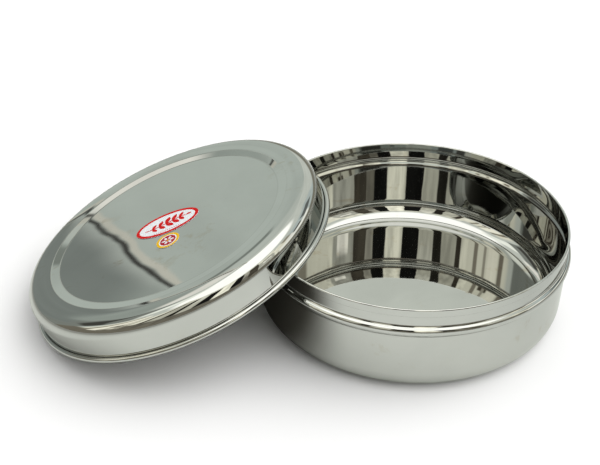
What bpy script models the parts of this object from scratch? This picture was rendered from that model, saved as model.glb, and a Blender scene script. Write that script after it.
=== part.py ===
"""Flat round stainless steel spice box: a drawn box, and the loose lid that leans on its rim.

Metres, +Z up. The origin is the centre of the box's base, on the table. The lid leans towards -X:
its low edge stands on the table, and its curled edge rests on the box's rim.
"""

import math

import bmesh
import bpy
from mathutils import Vector

MM = 0.001

# The box. Its radii and heights are those of the sheet's outer side.
BOX_HEIGHT = 52.4 * MM
BOX_SHEET = 0.55 * MM
RIM_RADIUS = 84.5 * MM
HEM_HEIGHT = 4.0 * MM
HEM_GAP = 0.15 * MM
NECK_FLARE = 0.15 * MM
BEAD_RADIUS = 87.5 * MM
BEAD_TOP = 43.4 * MM
BEAD_TOP_SLOPE = 0.7 * MM
BEAD_BOTTOM = 38.2 * MM
BEAD_ROUND = 2.1 * MM
BEAD_CORNER_ROUND = 0.6 * MM
WALL_TOP = 36.2 * MM
WALL_TOP_RADIUS = 85.3 * MM
WALL_TOP_ROUND = 2.5 * MM
WALL_FOOT_RADIUS = 84.7 * MM
FOOT_ROUND = 12.0 * MM

# The lid, in its own frame: its mouth is the plane z = 0, and its panel faces +Z.
LID_SHEET = 0.5 * MM
SKIRT_RADIUS = 85.4 * MM
CURL_RADIUS = 1.45 * MM
CURL_TURN = math.radians(290)
SHOULDER_HEIGHT = 20.1 * MM
SHOULDER_ROUND = 6.5 * MM
CROWN_RADIUS = 76.0 * MM
CROWN_HEIGHT = 21.2 * MM
CROWN_ROUND = 45.0 * MM
STEP_RADIUS = 69.9 * MM
STEP_HEIGHT = 21.0 * MM
PANEL_RADIUS = 64.8 * MM
PANEL_HEIGHT = 20.1 * MM
STEP_ROUND = 8.0 * MM

# How the lid leans: the tilt of its mouth, and how far the curl's centre is from the box's axis.
LEAN = math.radians(20.1)
LID_REACH = 127.2 * MM

# The two stickers on the lid's panel.
STICKER_GAP = 0.1 * MM
STICKER_THICKNESS = 0.2 * MM
STICKER_TURN = math.radians(8)
LABEL_LENGTH = 37.0 * MM
LABEL_WIDTH = 21.0 * MM
LABEL_POINTS = 40
BADGE_RADIUS = 6.6 * MM
BADGE_DISTANCE = 18.6 * MM
BADGE_SIDES = 32

# How finely the turned shapes are cut: the steps of a turn, and how far a chord of the profile may
# stand off its arc.
TURN_STEPS = 48
ARC_ERROR = 0.02 * MM
ARC_LEAST_PIECES = 2

STEEL = (0.62, 0.63, 0.60)
LABEL_RED = (0.72, 0.02, 0.03)
BADGE_YELLOW = (0.85, 0.62, 0.06)


def clear_scene():
    for obj in list(bpy.data.objects):
        bpy.data.objects.remove(obj, do_unlink=True)


def new_collection(name):
    collection = bpy.data.collections.new(name)
    bpy.context.scene.collection.children.link(collection)
    return collection


def new_material(name, colour, roughness, metallic):
    material = bpy.data.materials.new(name)
    material.use_nodes = True
    material.diffuse_color = (*colour, 1.0)
    shader = material.node_tree.nodes["Principled BSDF"]
    shader.inputs["Base Color"].default_value = (*colour, 1.0)
    shader.inputs["Roughness"].default_value = roughness
    shader.inputs["Metallic"].default_value = metallic
    return material


def arc(centre, radius, start, turn):
    """Points of an arc in the profile plane, from the angle start through turn, in radians."""
    widest = 2 * math.acos(1 - min(ARC_ERROR / radius, 1))
    pieces = max(ARC_LEAST_PIECES, math.ceil(abs(turn) / widest))
    angles = [start + turn * i / pieces for i in range(pieces + 1)]
    return [centre + radius * Vector((math.cos(a), math.sin(a))) for a in angles]


def rounded_corner(before, corner, after, radius):
    """The arc that rounds a corner between its two neighbours."""
    to_before = (before - corner).normalized()
    to_after = (after - corner).normalized()
    half = to_before.angle(to_after) / 2
    centre = corner + (to_before + to_after).normalized() * (radius / math.sin(half))
    first = corner + to_before * (radius / math.tan(half)) - centre
    last = corner + to_after * (radius / math.tan(half)) - centre
    turn = math.atan2(first.x * last.y - first.y * last.x, first.dot(last))
    return arc(centre, radius, math.atan2(first.y, first.x), turn)


def rounded_profile(corners):
    """Profile points (radius, height) through corners given as (radius, height, rounding)."""
    places = [Vector(corner[:2]) for corner in corners]
    points = [places[0]]
    for i in range(1, len(corners) - 1):
        points += rounded_corner(places[i - 1], places[i], places[i + 1], corners[i][2])
    return points + [places[-1]]


def turned_sheet(name, profile, thickness, material, collection):
    """Sheet metal turned about Z: an open profile through the middle of the sheet, made solid."""
    mesh = bpy.data.meshes.new(name)
    shape = bmesh.new()
    verts = []
    for point in profile:
        if not verts or (verts[-1].co.xz - point).length > 0.01 * MM:
            verts.append(shape.verts.new((point.x, 0, point.y)))
    for first, second in zip(verts, verts[1:]):
        shape.edges.new((first, second))
    shape.to_mesh(mesh)
    shape.free()
    obj = bpy.data.objects.new(name, mesh)
    collection.objects.link(obj)
    screw = obj.modifiers.new("turn", "SCREW")
    screw.axis = "Z"
    screw.steps = TURN_STEPS
    screw.render_steps = TURN_STEPS
    screw.use_merge_vertices = True
    screw.merge_threshold = 0.01 * MM
    screw.use_smooth_shade = True
    sheet = obj.modifiers.new("sheet", "SOLIDIFY")
    sheet.thickness = thickness
    sheet.offset = 0
    sheet.use_even_offset = True
    mesh.materials.append(material)
    return obj


def box_profile():
    """From the hem's free edge over the rim, down the neck, bead and wall, to the base's centre."""
    half = BOX_SHEET / 2
    hem_outer = RIM_RADIUS - half
    neck = hem_outer - BOX_SHEET - HEM_GAP
    rim = BOX_HEIGHT - half
    fold = (hem_outer - neck) / 2
    return rounded_profile(
        [
            (hem_outer, BOX_HEIGHT - HEM_HEIGHT, 0),
            (hem_outer, rim, fold),
            (neck, rim, fold),
            (neck + NECK_FLARE, BEAD_TOP, BEAD_CORNER_ROUND),
            (BEAD_RADIUS - half, BEAD_TOP - BEAD_TOP_SLOPE, BEAD_ROUND),
            (BEAD_RADIUS - half, BEAD_BOTTOM, BEAD_ROUND),
            (WALL_TOP_RADIUS - half, WALL_TOP, WALL_TOP_ROUND),
            (WALL_FOOT_RADIUS - half, half, FOOT_ROUND),
            (0, half, 0),
        ]
    )


def lid_profile():
    """From the free edge inside the curl, round it, up the skirt and over to the panel's centre."""
    half = LID_SHEET / 2
    skirt = SKIRT_RADIUS - half
    roll = CURL_RADIUS - half
    curl = arc(Vector((skirt + roll, CURL_RADIUS)), roll, CURL_TURN - math.pi, -CURL_TURN)
    return curl + rounded_profile(
        [
            (skirt, CURL_RADIUS, 0),
            (skirt, SHOULDER_HEIGHT - half, SHOULDER_ROUND),
            (CROWN_RADIUS, CROWN_HEIGHT - half, CROWN_ROUND),
            (STEP_RADIUS, STEP_HEIGHT - half, STEP_ROUND),
            (PANEL_RADIUS, PANEL_HEIGHT - half, STEP_ROUND),
            (0, PANEL_HEIGHT - half, 0),
        ]
    )


def make_lid_frame(collection):
    """The empty at the centre of the lid's mouth, tilted as the lid leans. The lid lifts with it."""
    curl_circle = SKIRT_RADIUS - LID_SHEET + CURL_RADIUS
    mouth_normal = Vector((-math.sin(LEAN), 0, math.cos(LEAN)))
    curl_centre = Vector((-LID_REACH, 0, CURL_RADIUS + curl_circle * math.sin(LEAN)))
    frame = bpy.data.objects.new("lid_frame", None)
    frame.location = curl_centre - CURL_RADIUS * mouth_normal
    frame.rotation_euler = (0, -LEAN, 0)
    frame.empty_display_size = 0.02
    collection.objects.link(frame)
    return frame


def make_label(material, collection):
    """A thin oval plate at the middle of the panel, its long axis a little off the lid's X."""
    curve = bpy.data.curves.new("oval_label", "CURVE")
    curve.dimensions = "2D"
    curve.fill_mode = "BOTH"
    curve.extrude = STICKER_THICKNESS / 2
    outline = curve.splines.new("POLY")
    outline.points.add(LABEL_POINTS - 1)
    for i, point in enumerate(outline.points):
        angle = 2 * math.pi * i / LABEL_POINTS
        across = LABEL_LENGTH / 2 * math.cos(angle)
        along = LABEL_WIDTH / 2 * math.sin(angle)
        point.co = (across, along, 0, 1)
    outline.use_cyclic_u = True
    label = bpy.data.objects.new("oval_label", curve)
    label.location = (0, 0, PANEL_HEIGHT + STICKER_GAP + STICKER_THICKNESS / 2)
    label.rotation_euler = (0, 0, STICKER_TURN)
    curve.materials.append(material)
    collection.objects.link(label)
    return label


def make_badge(material, collection):
    """A thin round plate on the panel, beside the label."""
    mesh = bpy.data.meshes.new("round_badge")
    shape = bmesh.new()
    bmesh.ops.create_cone(
        shape,
        cap_ends=True,
        segments=BADGE_SIDES,
        radius1=BADGE_RADIUS,
        radius2=BADGE_RADIUS,
        depth=STICKER_THICKNESS,
    )
    shape.to_mesh(mesh)
    shape.free()
    badge = bpy.data.objects.new("round_badge", mesh)
    badge.location = (
        BADGE_DISTANCE * math.sin(STICKER_TURN),
        -BADGE_DISTANCE * math.cos(STICKER_TURN),
        PANEL_HEIGHT + STICKER_GAP + STICKER_THICKNESS / 2,
    )
    mesh.materials.append(material)
    collection.objects.link(badge)
    return badge


def main():
    clear_scene()
    parts = new_collection("spice_box")
    box_steel = new_material("box_steel", STEEL, 0.12, 1.0)
    lid_steel = new_material("lid_steel", STEEL, 0.15, 1.0)
    label_print = new_material("label_print", LABEL_RED, 0.35, 0.0)
    badge_print = new_material("badge_print", BADGE_YELLOW, 0.35, 0.0)

    turned_sheet("box_body", box_profile(), BOX_SHEET, box_steel, parts)
    lid_frame = make_lid_frame(parts)
    lid_pieces = [
        turned_sheet("lid_shell", lid_profile(), LID_SHEET, lid_steel, parts),
        make_label(label_print, parts),
        make_badge(badge_print, parts),
    ]
    for piece in lid_pieces:
        piece.parent = lid_frame


main()
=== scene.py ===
"""The looks of the flat round steel spice box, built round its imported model."""

import math

import bpy
import numpy as np
from mathutils import Matrix, Vector


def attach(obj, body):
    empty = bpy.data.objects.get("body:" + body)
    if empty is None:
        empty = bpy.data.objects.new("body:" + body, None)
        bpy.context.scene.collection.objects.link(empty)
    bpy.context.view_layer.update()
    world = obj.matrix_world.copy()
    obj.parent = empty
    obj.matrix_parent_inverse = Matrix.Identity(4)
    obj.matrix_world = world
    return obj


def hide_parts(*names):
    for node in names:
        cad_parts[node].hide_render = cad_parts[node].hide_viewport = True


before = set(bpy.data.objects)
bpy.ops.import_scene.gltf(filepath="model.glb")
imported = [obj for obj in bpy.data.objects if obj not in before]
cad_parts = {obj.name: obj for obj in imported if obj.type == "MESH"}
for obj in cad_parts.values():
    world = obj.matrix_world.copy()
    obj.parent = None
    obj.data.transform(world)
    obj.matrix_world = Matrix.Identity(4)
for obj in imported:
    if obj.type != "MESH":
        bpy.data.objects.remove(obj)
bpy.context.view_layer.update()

MM = 0.001

# The camera: place in metres, turns in radians, lens in millimetres.
CAMERA_PLACE = Vector((-0.0617, -0.4254, 0.3209))
CAMERA_PAN = 0.0017
CAMERA_TILT = 0.5808
CAMERA_ROLL = -0.0092
CAMERA_LENS = 55.22

# The box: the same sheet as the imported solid, with finer curves. Its bead is slimmer and lower, by up
# to 1.4 mm.
BOX_HEIGHT = 52.4 * MM
BOX_SHEET = 0.55 * MM
RIM_RADIUS = 84.5 * MM
HEM_HEIGHT = 4.0 * MM
HEM_GAP = 0.15 * MM
NECK_FLARE = 0.15 * MM
BEAD_RADIUS = 86.5 * MM
BEAD_TOP = 42.0 * MM
BEAD_TOP_SLOPE = 1.1 * MM
BEAD_BOTTOM = 38.6 * MM
BEAD_ROUND = 1.9 * MM
BEAD_CORNER_ROUND = 2.0 * MM
WALL_TOP = 36.9 * MM
WALL_TOP_RADIUS = 85.0 * MM
WALL_TOP_ROUND = 1.8 * MM
WALL_FOOT_RADIUS = 84.5 * MM
FOOT_ROUND = 12.0 * MM

# The lid, in its own frame.
LID_SHEET = 0.5 * MM
SKIRT_RADIUS = 85.4 * MM
CURL_RADIUS = 1.45 * MM
CURL_TURN = math.radians(290)
SHOULDER_HEIGHT = 20.1 * MM
SHOULDER_ROUND = 6.5 * MM
CROWN_RADIUS = 76.0 * MM
CROWN_HEIGHT = 21.2 * MM
CROWN_ROUND = 45.0 * MM
STEP_RADIUS = 69.9 * MM
STEP_HEIGHT = 21.0 * MM
PANEL_RADIUS = 64.8 * MM
PANEL_HEIGHT = 20.1 * MM
STEP_ROUND = 8.0 * MM
LEAN = math.radians(20.1)
LID_REACH = 127.2 * MM

# The stickers on the lid's panel, in the lid's own frame.
STICKER_BOTTOM = PANEL_HEIGHT + 0.1 * MM
STICKER_THICKNESS = 0.2 * MM
INK_THICKNESS = 0.02 * MM
STICKER_TURN = math.radians(8)
LABEL_LENGTH = 37.0 * MM
LABEL_WIDTH = 21.0 * MM
LABEL_BORDER = 1.9 * MM
BADGE_RADIUS = 6.6 * MM
BADGE_DISTANCE = 18.6 * MM
PAPER_WHITE = (0.80, 0.83, 0.85)
LABEL_RED = (0.60, 0.002, 0.003)
BADGE_YELLOW = (0.80, 0.48, 0.008)
BADGE_RED = (0.40, 0.010, 0.025)

# The stem of the label's sprig, in plain millimetres from the label's centre: its joints, how far it
# sways, and how long the sway is to each radian. Its beads are ovals, given by their half sizes.
STEM_PLACES = [-13.0 + 2.0 * i for i in range(13)]
STEM_SWAY = 1.2
STEM_SWAY_LENGTH = 6.0
STEM_BEAD = (1.3 * MM, 0.45 * MM)
# Its leaves: plain millimetres, how much smaller they are for each one from the centre, how far they
# open from the stem in radians, and the power that fills out their sides.
LEAF_LENGTH = 6.6
LEAF_WIDTH = 3.1
LEAF_TAPER = 0.035
LEAF_SPREAD = 0.95
LEAF_FULLNESS = 0.8
TIP_LEAF = (3.6 * MM, 1.7 * MM)
TIP_TURN = 0.1
# The row of dots under it.
DOT_RADIUS = 0.36 * MM
DOT_PLACES = [(-7.8 + 1.3 * i) * MM for i in range(13)]
DOT_ROW = -7.2 * MM
# The badge's rings and flower.
BADGE_RING = 5.2 * MM
BADGE_DISC = 4.5 * MM
PETALS = 6
PETAL_START = 0.9 * MM
PETAL_SIZE = (2.7 * MM, 1.5 * MM)
FLOWER_EYE = 0.6 * MM

# How finely the sheets are turned, how finely a bend is cut, the shortest step kept along a profile,
# and the steps round the sheet's free edge.
TURN_STEPS = 288
ARC_STEP = math.radians(5)
SHORTEST_STEP = 0.002 * MM
EDGE_STEPS = 6


def arc(centre, radius, start, turn):
    """(point, outward direction) along an arc of the profile, from the angle start through turn."""
    pieces = max(4, math.ceil(abs(turn) / ARC_STEP))
    rays = []
    for i in range(pieces + 1):
        angle = start + turn * i / pieces
        rays.append(Vector((math.cos(angle), math.sin(angle))))
    return [(centre + radius * ray, ray if turn < 0 else -ray) for ray in rays]


def rounded_corner(before, corner, after, radius):
    """The arc that rounds this corner, as arc() gives it."""
    to_before = (before - corner).normalized()
    to_after = (after - corner).normalized()
    half = to_before.angle(to_after) / 2
    centre = corner + (to_before + to_after).normalized() * (radius / math.sin(half))
    first = corner + to_before * (radius / math.tan(half)) - centre
    last = corner + to_after * (radius / math.tan(half)) - centre
    turn = math.atan2(first.x * last.y - first.y * last.x, first.dot(last))
    return arc(centre, radius, math.atan2(first.y, first.x), turn)


def left_of(direction):
    """The direction turned a quarter to the left."""
    return Vector((-direction.y, direction.x))


def rounded_profile(corners):
    """(point, left-hand normal) through corners given as (radius, height, rounding)."""
    places = [Vector(corner[:2]) for corner in corners]
    points = [(places[0], left_of((places[1] - places[0]).normalized()))]
    for i in range(1, len(corners) - 1):
        points += rounded_corner(places[i - 1], places[i], places[i + 1], corners[i][2])
    return points + [(places[-1], left_of((places[-1] - places[-2]).normalized()))]


def box_profile():
    half = BOX_SHEET / 2
    hem_outer = RIM_RADIUS - half
    neck = hem_outer - BOX_SHEET - HEM_GAP
    rim = BOX_HEIGHT - half
    fold = (hem_outer - neck) / 2
    return rounded_profile(
        [
            (hem_outer, BOX_HEIGHT - HEM_HEIGHT, 0),
            (hem_outer, rim, fold),
            (neck, rim, fold),
            (neck + NECK_FLARE, BEAD_TOP, BEAD_CORNER_ROUND),
            (BEAD_RADIUS - half, BEAD_TOP - BEAD_TOP_SLOPE, BEAD_ROUND),
            (BEAD_RADIUS - half, BEAD_BOTTOM, BEAD_ROUND),
            (WALL_TOP_RADIUS - half, WALL_TOP, WALL_TOP_ROUND),
            (WALL_FOOT_RADIUS - half, half, FOOT_ROUND),
            (0, half, 0),
        ]
    )


def lid_profile():
    half = LID_SHEET / 2
    skirt = SKIRT_RADIUS - half
    roll = CURL_RADIUS - half
    curl = arc(Vector((skirt + roll, CURL_RADIUS)), roll, CURL_TURN - math.pi, -CURL_TURN)
    return curl + rounded_profile(
        [
            (skirt, CURL_RADIUS, 0),
            (skirt, SHOULDER_HEIGHT - half, SHOULDER_ROUND),
            (CROWN_RADIUS, CROWN_HEIGHT - half, CROWN_ROUND),
            (STEP_RADIUS, STEP_HEIGHT - half, STEP_ROUND),
            (PANEL_RADIUS, PANEL_HEIGHT - half, STEP_ROUND),
            (0, PANEL_HEIGHT - half, 0),
        ]
    )


def sheet_section(profile, thickness):
    """The closed edge of the sheet: along one side, round the free edge, and back along the other."""
    cleaned = [profile[0]]
    for point, normal in profile[1:]:
        if (point - cleaned[-1][0]).length > SHORTEST_STEP:
            cleaned.append((point, normal))
    half = thickness / 2
    left = [(p + half * n, n) for p, n in cleaned]
    right = [(p - half * n, -n) for p, n in cleaned]
    edge, normal = cleaned[0]
    back = -Vector((normal.y, -normal.x))
    cap = []
    for i in range(1, EDGE_STEPS):
        angle = math.pi * i / EDGE_STEPS
        ray = -normal * math.cos(angle) + back * math.sin(angle)
        cap.append((edge + half * ray, ray))
    return right[::-1] + cap + left


def turned_mesh(name, section):
    """The section turned about Z, with the exact normal at each point."""
    count = len(section)
    radii = np.array([p.x for p, n in section])
    heights = np.array([p.y for p, n in section])
    radials = np.array([n.x for p, n in section])
    rises = np.array([n.y for p, n in section])
    angles = 2 * math.pi * np.arange(TURN_STEPS) / TURN_STEPS
    cos, sin = np.cos(angles)[:, None], np.sin(angles)[:, None]
    verts = np.stack([radii * cos, radii * sin, np.broadcast_to(heights, (TURN_STEPS, count))], -1)
    normals = np.stack([radials * cos, radials * sin, np.broadcast_to(rises, (TURN_STEPS, count))], -1)
    inner = slice(1, count - 1)
    ring = count - 2
    points = list(verts[:, inner].reshape(-1, 3))
    directions = list(normals[:, inner].reshape(-1, 3))
    first_pole, last_pole = len(points), len(points) + 1
    points += [verts[0, 0], verts[0, -1]]
    directions += [normals[0, 0], normals[0, -1]]
    faces = []
    for turn in range(TURN_STEPS):
        here, there = turn * ring, (turn + 1) % TURN_STEPS * ring
        for i in range(ring - 1):
            faces.append((here + i, here + i + 1, there + i + 1, there + i))
        faces.append((first_pole, here, there))
        faces.append((here + ring - 1, last_pole, there + ring - 1))
    mesh = bpy.data.meshes.new(name)
    mesh.from_pydata([tuple(p) for p in points], [], faces)
    mesh.shade_smooth()
    mesh.normals_split_custom_set_from_vertices([tuple(d) for d in directions])
    own_place = mesh.attributes.new("own_place", "FLOAT_VECTOR", "POINT")
    own_place.data.foreach_set("vector", np.array(points, np.float32).ravel())
    flat = np.array([(p[0], p[1]) for p in points])
    lean = np.einsum("ij,ij->i", flat, np.array(directions)[:, :2])
    lean /= np.maximum(np.linalg.norm(flat, axis=1), 1e-9)
    faces_out = mesh.attributes.new("faces_out", "FLOAT", "POINT")
    faces_out.data.foreach_set("value", lean.astype(np.float32))
    return mesh


def new_object(name, mesh, material):
    obj = bpy.data.objects.new(name, mesh)
    bpy.context.scene.collection.objects.link(obj)
    mesh.materials.append(material)
    return obj


class Print:
    """Flat shapes of ink and film, gathered into one mesh in the lid's own frame."""

    def __init__(self, name):
        self.name = name
        self.points = []
        self.faces = []
        self.inks = []

    def add_points(self, places, height, ink):
        first = len(self.points)
        self.points += [(x, y, height) for x, y in places]
        self.inks += [(*ink, 1.0)] * len(places)
        return [first + i for i in range(len(places))]

    def slab(self, outline, low, high, ink):
        """A plate over a convex or star-shaped outline, counter-clockwise."""
        bottom = self.add_points(outline, low, ink)
        top = self.add_points(outline, high, ink)
        centre_x = sum(x for x, y in outline) / len(outline)
        centre_y = sum(y for x, y in outline) / len(outline)
        under = self.add_points([(centre_x, centre_y)], low, ink)[0]
        over = self.add_points([(centre_x, centre_y)], high, ink)[0]
        for i, here in enumerate(bottom):
            after = (i + 1) % len(bottom)
            self.faces.append((here, bottom[after], top[after], top[i]))
            self.faces.append((top[i], top[after], over))
            self.faces.append((bottom[after], here, under))

    def ring(self, outer, inner, low, high, ink):
        """A plate between two outlines of as many points each."""
        edges = ((outer, low), (outer, high), (inner, high), (inner, low))
        loops = [self.add_points(outline, height, ink) for outline, height in edges]
        for first, second in zip(loops, loops[1:] + loops[:1]):
            for i, here in enumerate(first):
                after = (i + 1) % len(first)
                self.faces.append((here, first[after], second[after], second[i]))

    def piece(self, material):
        mesh = bpy.data.meshes.new(self.name)
        mesh.from_pydata(self.points, [], self.faces)
        ink = mesh.attributes.new("ink", "FLOAT_COLOR", "POINT")
        ink.data.foreach_set("color", np.array(self.inks, np.float32).ravel())
        own_place = mesh.attributes.new("own_place", "FLOAT_VECTOR", "POINT")
        own_place.data.foreach_set("vector", np.array(self.points, np.float32).ravel())
        mesh.transform(lid_place())
        return new_object(self.name, mesh, material)


def turned_by(points, turn, centre=(0.0, 0.0)):
    """The points turned about the origin, then moved to the centre."""
    return [
        (
            centre[0] + x * math.cos(turn) - y * math.sin(turn),
            centre[1] + x * math.sin(turn) + y * math.cos(turn),
        )
        for x, y in points
    ]


def oval(half_length, half_width, count, centre=(0.0, 0.0), turn=0.0):
    """Points round an oval, turned and then moved to its centre."""
    angles = [2 * math.pi * i / count for i in range(count)]
    points = [(half_length * math.cos(angle), half_width * math.sin(angle)) for angle in angles]
    return turned_by(points, turn, centre)


def leaf(base, length, width, turn, count=9):
    """Points round a pointed leaf that grows from its base."""
    points = []
    for side in (-1, 1):
        for i in range(count):
            along = i / count if side < 0 else 1 - i / count
            half = width / 2 * math.sin(math.pi * along) ** LEAF_FULLNESS
            points.append((length * along, side * half))
    return turned_by(points, turn, base)


def leaf_pair(x, y, turn):
    """The two leaves on either side of the stem at this place, smaller towards its ends."""
    size = 1.0 - LEAF_TAPER * abs(x)
    length, width = LEAF_LENGTH * size * MM, LEAF_WIDTH * size * MM
    return [leaf((x * MM, y * MM), length, width, turn + side * LEAF_SPREAD) for side in (-1, 1)]


def sprig_shapes():
    """The leaves and the stem of the label's sprig, and its dots, round the label's centre."""
    shapes = []
    stem = [(x, STEM_SWAY * math.sin(x / STEM_SWAY_LENGTH)) for x in STEM_PLACES]
    last = len(stem) - 1
    for i, ((x, y), (next_x, next_y)) in enumerate(zip(stem, stem[1:])):
        turn = math.atan2(next_y - y, next_x - x)
        middle = ((x + next_x) / 2 * MM, (y + next_y) / 2 * MM)
        shapes.append(oval(*STEM_BEAD, 12, middle, turn))
        if i % 2 == 0 and 0 < i < last:
            shapes += leaf_pair(x, y, turn)
    end_x, end_y = stem[-1]
    shapes.append(leaf((end_x * MM, end_y * MM), *TIP_LEAF, TIP_TURN))
    shapes += [oval(DOT_RADIUS, DOT_RADIUS, 10, (x, DOT_ROW)) for x in DOT_PLACES]
    return shapes


def make_label(material):
    """The oval label: white film with a red border, a sprig of leaves and a row of dots."""
    label = Print("label")
    top = STICKER_BOTTOM + STICKER_THICKNESS
    film = top - INK_THICKNESS
    half_length, half_width = LABEL_LENGTH / 2, LABEL_WIDTH / 2
    edge = oval(half_length, half_width, 96, turn=STICKER_TURN)
    border = oval(half_length - LABEL_BORDER, half_width - LABEL_BORDER, 96, turn=STICKER_TURN)
    label.slab(edge, STICKER_BOTTOM, film, PAPER_WHITE)
    label.ring(edge, border, film - INK_THICKNESS, top, LABEL_RED)
    for shape in sprig_shapes():
        label.slab(turned_by(shape, STICKER_TURN), film - INK_THICKNESS, top, LABEL_RED)
    return label.piece(material)


def make_badge(material):
    """The round badge: a yellow ring, a white ring, and a white flower on dark red."""
    badge = Print("badge")
    centre = (BADGE_DISTANCE * math.sin(STICKER_TURN), -BADGE_DISTANCE * math.cos(STICKER_TURN))
    top = STICKER_BOTTOM + STICKER_THICKNESS
    film = top - 2 * INK_THICKNESS
    edge = oval(BADGE_RADIUS, BADGE_RADIUS, 72, centre)
    ring = oval(BADGE_RING, BADGE_RING, 72, centre)
    disc = oval(BADGE_DISC, BADGE_DISC, 72, centre)
    badge.slab(edge, STICKER_BOTTOM, film, PAPER_WHITE)
    badge.ring(edge, ring, film - INK_THICKNESS, top - INK_THICKNESS, BADGE_YELLOW)
    badge.slab(disc, film - INK_THICKNESS, top - INK_THICKNESS, BADGE_RED)
    for i in range(PETALS):
        turn = STICKER_TURN + math.radians(360 / PETALS * i)
        petal = turned_by(leaf((PETAL_START, 0), *PETAL_SIZE, 0.0), turn, centre)
        badge.slab(petal, film, top, PAPER_WHITE)
    badge.slab(oval(FLOWER_EYE, FLOWER_EYE, 16, centre), film, top, BADGE_YELLOW)
    return badge.piece(material)


def lid_place():
    """Where the leaning lid's own frame is: low edge on the table, curl on the box's rim."""
    curl_circle = SKIRT_RADIUS - LID_SHEET + CURL_RADIUS
    mouth_normal = Vector((-math.sin(LEAN), 0, math.cos(LEAN)))
    curl_centre = Vector((-LID_REACH, 0, CURL_RADIUS + curl_circle * math.sin(LEAN)))
    return Matrix.Translation(curl_centre - CURL_RADIUS * mouth_normal) @ Matrix.Rotation(-LEAN, 4, "Y")


def make_camera():
    data = bpy.data.cameras.new("camera")
    data.lens = CAMERA_LENS
    camera = bpy.data.objects.new("camera", data)
    bpy.context.scene.collection.objects.link(camera)
    forward = Vector(
        (
            math.sin(CAMERA_PAN) * math.cos(CAMERA_TILT),
            math.cos(CAMERA_PAN) * math.cos(CAMERA_TILT),
            -math.sin(CAMERA_TILT),
        )
    )
    level_right = Vector((math.cos(CAMERA_PAN), -math.sin(CAMERA_PAN), 0))
    level_up = level_right.cross(forward)
    right = math.cos(CAMERA_ROLL) * level_right + math.sin(CAMERA_ROLL) * level_up
    up = right.cross(forward)
    turn = Matrix((right, up, -forward)).transposed().to_4x4()
    camera.matrix_world = Matrix.Translation(CAMERA_PLACE) @ turn
    bpy.context.scene.camera = camera


# How the room round the box looks to the steel, as panels of light and shade in this direction and
# height: degrees round from the camera's side towards +X, degrees above the table, softness of the
# edges, and the light that each gives. A later panel covers an earlier one.
ROOM_WALL = (0.77, 0.81, 0.74)
ROOM_PANELS = (
    ("ceiling softbox", -200, 200, 58, 100, 8, (1.75, 1.75, 1.68)),
    ("warm wall behind the camera", -97, 92, -5, 47, 5, (1.10, 1.08, 0.90)),
    ("cool wall on the right", 96, 150, -5, 45, 6, (0.62, 0.70, 0.68)),
    ("dark lower walls", -200, 200, -90, 13, 6, (0.27, 0.26, 0.21)),
    ("dark edge of the table", -112, 75, -90, 21, 5, (0.23, 0.21, 0.165)),
    ("low window on the right", 75, 124, 13, 24, 4, (1.24, 1.24, 1.14)),
    ("lit strip on the right", 88, 98, 23, 34, 3, (1.15, 1.14, 1.04)),
    ("shaded wall on the right", 86, 97, 34, 46, 4, (0.42, 0.39, 0.31)),
    ("dark shelf on the right", 99, 112, 24.5, 32, 3, (0.15, 0.15, 0.14)),
    ("dark door on the right", 117, 139, 24, 38, 4, (0.17, 0.185, 0.18)),
    ("dark chair on the left", -80, -69, 27, 33.5, 2, (0.10, 0.085, 0.06)),
    ("lit curtain on the left", -86, -77, 16, 50, 2, (1.34, 1.30, 1.10)),
    ("first fold of the curtain", -67, -63.5, 16, 48, 1.5, (0.36, 0.33, 0.26)),
    ("second fold of the curtain", -75, -72.5, 16, 48, 1.5, (0.52, 0.49, 0.40)),
    ("third fold of the curtain", -92, -87.5, 16, 48, 2.0, (0.30, 0.27, 0.21)),
    ("dark end of the room", -137, -103, -5, 43, 3, (0.29, 0.31, 0.28)),
    ("dark backdrop, left", -148.4, -118, -5, 22, 4, (0.27, 0.30, 0.28)),
    ("dark sofa at the end", -136, -106, 25, 33.5, 3, (0.08, 0.08, 0.07)),
    ("grey cloth, left", -148.4, -136, 20, 33, 4, (0.42, 0.47, 0.43)),
    ("grey backdrop", -172, -148.4, -5, 30, 2, (0.57, 0.63, 0.58)),
    ("pale backdrop", -172, -148.4, 29, 45, 3, (0.68, 0.73, 0.67)),
    ("shade over the backdrop", -156, -148.4, 24, 28, 1.5, (0.28, 0.31, 0.28)),
    ("softbox behind the lid", -148.4, -139, 30.5, 46, 3, (1.15, 1.13, 1.04)),
    ("lit edge of the backdrop", -149.25, -148.75, -5, 60, 0.3, (0.72, 0.71, 0.62)),
    ("shadow beside the backdrop", -148.7, -148.35, -5, 60, 0.3, (0.06, 0.06, 0.055)),
    ("softbox left", -126, -106, 44, 62, 4, (1.32, 1.36, 1.24)),
)

# The people and stands round the camera, as a curved screen this far from the box's axis.
SCREEN_REACH = 0.45
SCREEN_TURN = (-62, 70)
SCREEN_BOTTOM = 0.10
SCREEN_TOP = 0.72
SCREEN_LIGHT = (1.10, 1.08, 0.90)
# How far the panels' sides sway, in degrees, and how uneven their light is: on the screen and round
# the room.
SCREEN_SWAY = 5.0
SCREEN_STREAKS = 0.22
ROOM_STREAKS = 0.05
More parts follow.
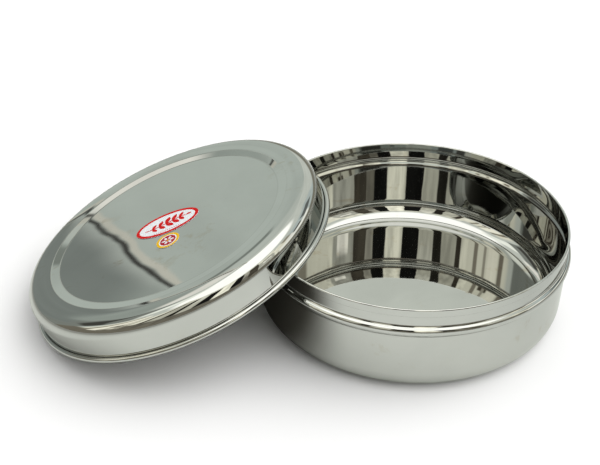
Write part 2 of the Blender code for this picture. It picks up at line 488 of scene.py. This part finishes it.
# The noise that bends the panels' sides, and the noise of their uneven light.
SWAY_NOISE = (4.0, 2.0)
STREAKS_NOISE = (12.0, 3.0)
SCREEN_PANELS = (
    ("grey wall right", 44, 64, -5, 50, 2, (0.58, 0.58, 0.50)),
    ("lamp near the right", 49.5, 60, 38.5, 42, 1.5, (1.60, 1.56, 1.40)),
    ("dark bar far right", 31.5, 44, -5, 56, 1.5, (0.09, 0.08, 0.06)),
    ("grey gap right", 24.5, 32, -5, 56, 1.5, (0.50, 0.48, 0.40)),
    ("shaded gap right", 24.5, 32, -5, 36.5, 1.0, (0.25, 0.235, 0.19)),
    ("dark bar right", 14.5, 25, -5, 56, 1.0, (0.012, 0.012, 0.011)),
    ("bright gap at the camera", 0.5, 14, -5, 80, 1.5, (1.32, 1.29, 1.08)),
    ("grey gaps left", -51, -17, -5, 54, 1.5, (0.66, 0.65, 0.54)),
    ("lit top of the gap", -32, -17, 42, 62, 4, (0.92, 0.91, 0.78)),
    ("dark bar at the camera", -16.5, -1, -5, 53, 1.0, (0.012, 0.012, 0.011)),
    ("dark bar left", -37.5, -29, -5, 54, 1.2, (0.03, 0.028, 0.022)),
    ("dark bar far left", -56, -51, -5, 54, 1.2, (0.07, 0.06, 0.045)),
    ("dark edge of the table", -80, 80, -90, 25, 3, (0.21, 0.195, 0.155)),
)

# The light on what isn't steel: a low glow, more from above between these heights, and the key light
# from the right, between these cosines of the angle from its middle.
FILL_LOW = 0.10
FILL_HIGH = 1.0
FILL_RISE = (0.25, 0.9)
KEY_FROM = (0.74, -0.10, 0.66)
KEY_LIGHT = 2.3
KEY_SPREAD = (0.6, 0.95)
BACKDROP = (1.0, 1.0, 1.0)
FLOOR_COLOUR = (0.86, 0.86, 0.86)
# Painted light: the floor is painted a little lighter away from the box, between the radii of
# FLOOR_REACH.
FAR_FLOOR = tuple(c * 1.07 for c in FLOOR_COLOUR)
FLOOR_CLOUD = (0.6, 0.6, 0.6)
FLOOR_REACH = (0.15, 0.6)
FLOOR_NOISE = (3.0, 3.0)
FLOOR_CLOUDED = 0.02
# What the steel shows of the table: its colour near the box and far off, and its painted shades (a
# painted shadow under the lid, painted shade at the right end), each with its place, the radii where it
# is full and where it ends, and its colour.
TABLE_NEAR = (0.69, 0.71, 0.665)
TABLE_FAR = (0.31, 0.315, 0.29)
TABLE_REACH = (0.19, 0.46)
TABLE_PAINTED_SHADES = (
    ("right end", (0.26, -0.04, 0.0), (0.03, 0.24), (0.42, 0.44, 0.42)),
    ("under the lid", (-0.125, -0.020, 0.0), (0.045, 0.102), (0.11, 0.105, 0.09)),
)
FLOOR_SIZE = 16.0

STEEL = (0.60, 0.605, 0.585)
WIPED_STEEL = tuple(c * 0.95 for c in STEEL)
SPOT_COLOUR = (STEEL[0] * 0.86, STEEL[1] * 0.80, STEEL[2] * 0.72)
# Painted shade: the dark colour painted into the sheet's creases.
CREASE_SHADE_COLOUR = (0.07, 0.055, 0.04)
BOX_ROUGHNESS = 0.018
LID_ROUGHNESS = 0.022
# How far the polishing lines vary the roughness, and what full painted crease shade and full spots add
# to it.
LINES_ROUGHNESS = 0.012
CREASE_SHADE_ROUGHNESS = 0.12
SPOT_ROUGHNESS = 0.05
# The polishing lines: how many noise cells to a metre across them, and their height in metres.
LINES_SCALE = 1600.0
LINES_HEIGHT = 0.08e-6
# Noise for the wiping marks, the brown spots and the patches where spots are: scale, detail, and then
# roughness and distortion.
WIPES_NOISE = (22.0, 5.0, 0.6, 0.6)
SPOTS_NOISE = (70.0, 4.0, 0.65, 0.3)
PATCHES_NOISE = (9.0, 1.0)
# Where each piece's noise starts.
BOX_SEED = 3.0
LID_SEED = 11.0
LABEL_SEED = 1.0
BADGE_SEED = 2.0
# The sheet's waves: height in metres, scale, and stretch along the axis.
BOX_WAVES = ((0.00009, 34.0, 0.5), (0.000007, 150.0, 0.25))
LID_WAVES = ((0.00022, 20.0, 1.0), (0.00002, 60.0, 1.0))
# Where the painted shade of the creases sits: height on the box or radius on the lid in mm, reach in
# mm, and strength on the outside and the inside.
BOX_CREASES = ((36.9, 0.5, 0.45, 0.0), (43.1, 0.8, 0.0, 0.95), (36.7, 1.0, 0.0, 0.95))
LID_CREASES = ((64.9, 0.7, 0.10, 0.10), (70.4, 0.6, 0.05, 0.05))
# The neck's slight bulge inwards, between these heights.
NECK_BULGE = 0.12 * MM
NECK_MIDDLE = 47.8 * MM
NECK_HALF = 4.4 * MM
# The printed film: scuffs and dulling at most, and the heights in metres of its wear and its grain.
FILM_WORN = 0.15
FILM_DULL = 0.04
DULL_COLOUR = (0.35, 0.33, 0.30)
WEAR_HEIGHT = 0.6e-5
GRAIN_HEIGHT = 0.8e-6
WEAR_NOISE = (330.0, 5.0, 0.65, 0.8)
GRAIN_NOISE = (2600.0, 3.0)
# How many times light is followed from steel to steel.
GLOSSY_BOUNCES = 6


def feed(tree, socket, value):
    if isinstance(value, bpy.types.NodeSocket):
        tree.links.new(value, socket)
    else:
        socket.default_value = value


def add(tree, kind, inputs=None, **settings):
    """A new node with these settings, its inputs fed with values or with other nodes' sockets."""
    node = tree.nodes.new(kind)
    for name, value in settings.items():
        setattr(node, name, value)
    for key, value in (inputs or {}).items():
        feed(tree, node.inputs[key], value)
    return node


def calc(tree, operation, *values):
    return add(tree, "ShaderNodeMath", dict(enumerate(values)), operation=operation).outputs[0]


def step(tree, value, low, high, start=0.0, end=1.0):
    """start below low, end above high, and a smooth change between them."""
    inputs = {"Value": value, "From Min": low, "From Max": high, "To Min": start, "To Max": end}
    return add(tree, "ShaderNodeMapRange", inputs, interpolation_type="SMOOTHSTEP").outputs["Result"]


def band(tree, value, low, high, soft):
    rise = step(tree, value, low - soft / 2, low + soft / 2)
    fall = step(tree, value, high - soft / 2, high + soft / 2, 1.0, 0.0)
    return calc(tree, "MULTIPLY", rise, fall)


def blend(tree, share, first, second):
    mix = add(tree, "ShaderNodeMix", data_type="RGBA")
    for index, value in ((0, share), (6, first), (7, second)):
        feed(tree, mix.inputs[index], value)
    return mix.outputs[2]


def panel_light(tree, place, first, panels, sway, streaks):
    """The light of the panels, for a direction from the table's middle."""
    split = add(tree, "ShaderNodeSeparateXYZ", {0: place}).outputs
    turn = calc(tree, "ARCTAN2", split["X"], calc(tree, "MULTIPLY", split["Y"], -1.0))
    azimuth = calc(tree, "DEGREES", turn)
    bend = calc(tree, "SUBTRACT", noise(tree, place, *SWAY_NOISE), 0.5)
    azimuth = calc(tree, "MULTIPLY_ADD", bend, sway, azimuth)
    height = calc(tree, "DEGREES", calc(tree, "ARCSINE", split["Z"]))
    light = (*first, 1)
    for name, left, right, low, high, soft, colour in panels:
        across = band(tree, azimuth, left, right, soft)
        share = calc(tree, "MULTIPLY", across, band(tree, height, low, high, soft))
        light = blend(tree, share, light, (*colour, 1))
    uneven = noise(tree, moved_by(tree, place, 4.0, 0.25), *STREAKS_NOISE)
    uneven = step(tree, uneven, 0.3, 0.7, 1.0 - streaks, 1.0 + streaks)
    return add(tree, "ShaderNodeVectorMath", {0: light, "Scale": uneven}, operation="SCALE").outputs[0]


def after_diffuse(tree):
    """1 for light on its way to a matt surface, which the panels are not meant for."""
    depth = add(tree, "ShaderNodeLightPath").outputs["Diffuse Depth"]
    return calc(tree, "GREATER_THAN", depth, 0.5)


def make_world():
    world = bpy.data.worlds.new("studio")
    bpy.context.scene.world = world
    world.use_nodes = True
    tree = world.node_tree
    tree.nodes.clear()
    place = add(tree, "ShaderNodeTexCoord").outputs["Generated"]
    light = panel_light(tree, place, ROOM_WALL, ROOM_PANELS, 0.0, ROOM_STREAKS)
    height = add(tree, "ShaderNodeSeparateXYZ", {0: place}).outputs["Z"]
    fill = step(tree, height, *FILL_RISE, FILL_LOW, FILL_HIGH)
    key_from = Vector(KEY_FROM).normalized()
    near_key = add(tree, "ShaderNodeVectorMath", {0: place, 1: key_from}, operation="DOT_PRODUCT")
    key = step(tree, near_key.outputs["Value"], *KEY_SPREAD, 0.0, KEY_LIGHT)
    grey = calc(tree, "ADD", fill, key)
    soft_light = add(tree, "ShaderNodeCombineColor", dict.fromkeys(range(3), grey))
    light = blend(tree, after_diffuse(tree), light, soft_light.outputs[0])
    seen = add(tree, "ShaderNodeLightPath").outputs["Is Camera Ray"]
    light = blend(tree, seen, light, (*BACKDROP, 1))
    background = add(tree, "ShaderNodeBackground", {"Color": light})
    add(tree, "ShaderNodeOutputWorld", {"Surface": background.outputs[0]})


def make_screen():
    """The curved screen, which only reflections see."""
    material, tree = new_material("screen_light")
    place = add(tree, "ShaderNodeTexCoord").outputs["Object"]
    direction = add(tree, "ShaderNodeVectorMath", {0: place}, operation="NORMALIZE").outputs[0]
    light = panel_light(tree, direction, SCREEN_LIGHT, SCREEN_PANELS, SCREEN_SWAY, SCREEN_STREAKS)
    strength = calc(tree, "SUBTRACT", 1.0, after_diffuse(tree))
    glow = add(tree, "ShaderNodeEmission", {"Color": light, "Strength": strength})
    add(tree, "ShaderNodeOutputMaterial", {"Surface": glow.outputs[0]})
    points = []
    for degrees in range(SCREEN_TURN[0], SCREEN_TURN[1] + 1, 2):
        angle = math.radians(degrees)
        x, y = SCREEN_REACH * math.sin(angle), -SCREEN_REACH * math.cos(angle)
        points += [(x, y, SCREEN_BOTTOM), (x, y, SCREEN_TOP)]
    faces = [(i, i + 2, i + 3, i + 1) for i in range(0, len(points) - 2, 2)]
    mesh = bpy.data.meshes.new("screen")
    mesh.from_pydata(points, [], faces)
    screen = new_object("screen", mesh, material)
    screen.visible_camera = False
    screen.visible_shadow = False
    screen.visible_diffuse = False


def new_material(name):
    material = bpy.data.materials.new(name)
    material.use_nodes = True
    tree = material.node_tree
    tree.nodes.clear()
    return material, tree


def own_axes(tree):
    """The place on the piece in its own frame: the vector, its radius, its height, and its ray."""
    place = add(tree, "ShaderNodeAttribute", attribute_name="own_place").outputs["Vector"]
    split = add(tree, "ShaderNodeSeparateXYZ", {0: place}).outputs
    flat = add(tree, "ShaderNodeCombineXYZ", {"X": split["X"], "Y": split["Y"]}).outputs[0]
    ray = add(tree, "ShaderNodeVectorMath", {0: flat}, operation="NORMALIZE").outputs[0]
    radius = add(tree, "ShaderNodeVectorMath", {0: flat}, operation="LENGTH").outputs["Value"]
    return place, radius, split["Z"], ray


def turning_lines(tree, radius, height, ray):
    """Fine lines that run round the axis, as from polishing on a lathe."""
    turn = add(tree, "ShaderNodeSeparateXYZ", {0: ray}).outputs
    place = add(
        tree,
        "ShaderNodeCombineXYZ",
        {
            "X": calc(tree, "MULTIPLY", calc(tree, "SUBTRACT", radius, height), LINES_SCALE),
            "Y": calc(tree, "MULTIPLY", turn["X"], 4.0),
            "Z": calc(tree, "MULTIPLY", turn["Y"], 4.0),
        },
    ).outputs[0]
    return add(tree, "ShaderNodeTexNoise", {"Vector": place, "Scale": 1.0, "Detail": 3.0}).outputs[0]


def moved_by(tree, place, seed, stretch=1.0):
    moved = add(
        tree,
        "ShaderNodeVectorMath",
        {0: place, 1: (1.0, 1.0, stretch), 2: (seed, seed, seed)},
        operation="MULTIPLY_ADD",
    )
    return moved.outputs[0]


def noise(tree, place, scale, detail=2.0, roughness=0.5, distortion=0.0):
    inputs = {"Vector": place, "Scale": scale, "Detail": detail, "Roughness": roughness}
    return add(tree, "ShaderNodeTexNoise", {**inputs, "Distortion": distortion}).outputs[0]


def near(tree, value, centre, reach):
    """1 at the centre, falling smoothly to 0 this far to each side."""
    off = calc(tree, "ABSOLUTE", calc(tree, "SUBTRACT", value, centre))
    return step(tree, off, 0.15 * reach, reach, 1.0, 0.0)


def inner_side(tree):
    """1 on faces that look towards the axis, 0 on the others."""
    faces_out = add(tree, "ShaderNodeAttribute", attribute_name="faces_out").outputs["Fac"]
    return step(tree, faces_out, -0.4, 0.0, 1.0, 0.0)


def crease_shade_share(tree, value, creases, patchy):
    """How dark the painted shade in the creases is, in patches."""
    inner = inner_side(tree)
    share = 0.0
    for centre, reach, outside, inside in creases:
        strength = calc(tree, "MULTIPLY_ADD", inner, inside - outside, outside)
        line = calc(tree, "MULTIPLY", near(tree, value, centre * MM, reach * MM), strength)
        share = calc(tree, "MAXIMUM", line, share)
    return calc(tree, "MULTIPLY", share, step(tree, patchy, 0.25, 0.6, 0.65, 1.0))


def bump(tree, height, metres, normal=None):
    inputs = {"Height": calc(tree, "MULTIPLY", height, metres), "Distance": 1.0}
    if normal:
        inputs["Normal"] = normal
    return add(tree, "ShaderNodeBump", inputs).outputs[0]


def neck_bulge(tree, height):
    """The height of the neck's bulge, which only its inner side shows."""
    off = calc(tree, "DIVIDE", calc(tree, "SUBTRACT", height, NECK_MIDDLE), NECK_HALF)
    rise = calc(tree, "MAXIMUM", calc(tree, "SUBTRACT", 1.0, calc(tree, "MULTIPLY", off, off)), 0.0)
    return calc(tree, "MULTIPLY", rise, inner_side(tree))


def polished_steel(name, roughness, seed, waves, creases, along):
    """Polished sheet: slightly wavy, with fine lines round its axis, wiping marks, spots, and painted
    shade in its creases.

    waves: (height in metres, scale, stretch along the axis) of each wave. creases: where the painted
    shade sits, along the "radius" or the "height".
    """
    material, tree = new_material(name)
    place, radius, height, ray = own_axes(tree)
    lines = turning_lines(tree, radius, height, ray)
    moved = moved_by(tree, place, seed)
    wipes = noise(tree, moved, *WIPES_NOISE)
    spots = step(tree, noise(tree, moved, *SPOTS_NOISE), 0.58, 0.70)
    patches = step(tree, noise(tree, moved, *PATCHES_NOISE), 0.45, 0.6, 0.0, 0.8)
    spots = calc(tree, "MULTIPLY", spots, patches)
    tint = blend(tree, step(tree, wipes, 0.35, 0.7), (*STEEL, 1), (*WIPED_STEEL, 1))
    tint = blend(tree, spots, tint, (*SPOT_COLOUR, 1))
    # Painted shade: the creases are painted darker, in patches.
    crease_shade = crease_shade_share(tree, radius if along == "radius" else height, creases, wipes)
    tint = blend(tree, crease_shade, tint, (*CREASE_SHADE_COLOUR, 1))
    rough = step(tree, wipes, 0.3, 0.75, roughness, roughness * 1.6)
    rough = calc(tree, "MULTIPLY_ADD", calc(tree, "SUBTRACT", lines, 0.5), LINES_ROUGHNESS, rough)
    rough = calc(tree, "MULTIPLY_ADD", crease_shade, CREASE_SHADE_ROUGHNESS, rough)
    rough = calc(tree, "MULTIPLY_ADD", spots, SPOT_ROUGHNESS, rough)
    normal = None
    for index, (metres, scale, stretch) in enumerate(waves):
        wave = noise(tree, moved_by(tree, place, seed + 5 * index, stretch), scale, 1.0, 0.4)
        normal = bump(tree, wave, metres, normal)
    normal = bump(tree, lines, LINES_HEIGHT, normal)
    if along == "height":
        normal = bump(tree, neck_bulge(tree, height), NECK_BULGE, normal)
    steel = add(
        tree,
        "ShaderNodeBsdfPrincipled",
        {"Base Color": tint, "Metallic": 1.0, "Roughness": rough, "Normal": normal},
    )
    add(tree, "ShaderNodeOutputMaterial", {"Surface": steel.outputs[0]})
    return material


def printed_film(name, seed):
    """Satin printed film: the ink of each place, a little faded and scuffed."""
    material, tree = new_material(name)
    ink = add(tree, "ShaderNodeAttribute", attribute_name="ink").outputs["Color"]
    place = add(tree, "ShaderNodeAttribute", attribute_name="own_place").outputs["Vector"]
    moved = moved_by(tree, place, seed)
    grain = noise(tree, moved, *GRAIN_NOISE)
    wear = noise(tree, moved, *WEAR_NOISE)
    worn = step(tree, wear, 0.64, 0.74, 0.0, FILM_WORN)
    colour = blend(tree, worn, ink, (*PAPER_WHITE, 1))
    dull = step(tree, wear, 0.35, 0.6, 0.0, FILM_DULL)
    colour = blend(tree, dull, colour, (*DULL_COLOUR, 1))
    normal = bump(tree, wear, WEAR_HEIGHT, bump(tree, grain, GRAIN_HEIGHT))
    film = add(
        tree,
        "ShaderNodeBsdfPrincipled",
        {
            "Base Color": colour,
            "Roughness": step(tree, wear, 0.3, 0.7, 0.38, 0.55),
            "Normal": normal,
            "Specular IOR Level": 0.08,
        },
    )
    add(tree, "ShaderNodeOutputMaterial", {"Surface": film.outputs[0]})
    return material


def floor_paint():
    """The pale floor. Reflections show it as the table: darker, with a painted shadow under the lid and
    painted shade at its right end.
    """
    material, tree = new_material("floor_paint")
    place = add(tree, "ShaderNodeTexCoord").outputs["Object"]
    cloud = noise(tree, place, *FLOOR_NOISE)
    off = add(tree, "ShaderNodeVectorMath", {0: place}, operation="LENGTH").outputs["Value"]
    shade = blend(tree, step(tree, off, *FLOOR_REACH), (*FLOOR_COLOUR, 1), (*FAR_FLOOR, 1))
    shade = blend(tree, calc(tree, "MULTIPLY", cloud, FLOOR_CLOUDED), shade, (*FLOOR_CLOUD, 1))
    in_steel = add(tree, "ShaderNodeLightPath").outputs["Is Glossy Ray"]
    table = blend(tree, step(tree, off, *TABLE_REACH), (*TABLE_NEAR, 1), (*TABLE_FAR, 1))
    # Painted shade that only reflections see: a shadow under the lid and a darker right end.
    for name, middle, reach, colour in TABLE_PAINTED_SHADES:
        away = add(tree, "ShaderNodeVectorMath", {0: place, 1: middle}, operation="DISTANCE")
        share = step(tree, away.outputs["Value"], *reach, 1.0, 0.0)
        table = blend(tree, share, table, (*colour, 1))
    shade = blend(tree, in_steel, shade, table)
    paint = add(
        tree,
        "ShaderNodeBsdfPrincipled",
        {"Base Color": shade, "Roughness": 0.8, "Specular IOR Level": 0.1},
    )
    add(tree, "ShaderNodeOutputMaterial", {"Surface": paint.outputs[0]})
    return material


def make_floor():
    mesh = bpy.data.meshes.new("floor")
    half = FLOOR_SIZE / 2
    corners = [(-half, -half, 0), (half, -half, 0), (half, half, 0), (-half, half, 0)]
    mesh.from_pydata(corners, [], [(0, 1, 2, 3)])
    floor = new_object("floor", mesh, floor_paint())
    floor.location.z = -0.2 * MM


def ride_on_lid(piece, node):
    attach(piece, "lid")
    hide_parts(node)


def main():
    make_camera()
    make_world()
    make_screen()
    make_floor()
    box_steel = polished_steel("box_steel", BOX_ROUGHNESS, BOX_SEED, BOX_WAVES, BOX_CREASES, "height")
    lid_steel = polished_steel("lid_steel", LID_ROUGHNESS, LID_SEED, LID_WAVES, LID_CREASES, "radius")
    body = new_object("box", turned_mesh("box", sheet_section(box_profile(), BOX_SHEET)), box_steel)
    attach(body, "box")
    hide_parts("box_body")
    lid = new_object("lid", turned_mesh("lid", sheet_section(lid_profile(), LID_SHEET)), lid_steel)
    lid.data.transform(lid_place())
    ride_on_lid(lid, "lid_shell")
    ride_on_lid(make_label(printed_film("label_print", LABEL_SEED)), "oval_label")
    ride_on_lid(make_badge(printed_film("badge_print", BADGE_SEED)), "round_badge")
    bpy.context.scene.view_settings.view_transform = "Standard"
    bpy.context.scene.cycles.glossy_bounces = GLOSSY_BOUNCES
    bpy.context.scene.cycles.min_light_bounces = GLOSSY_BOUNCES


main()
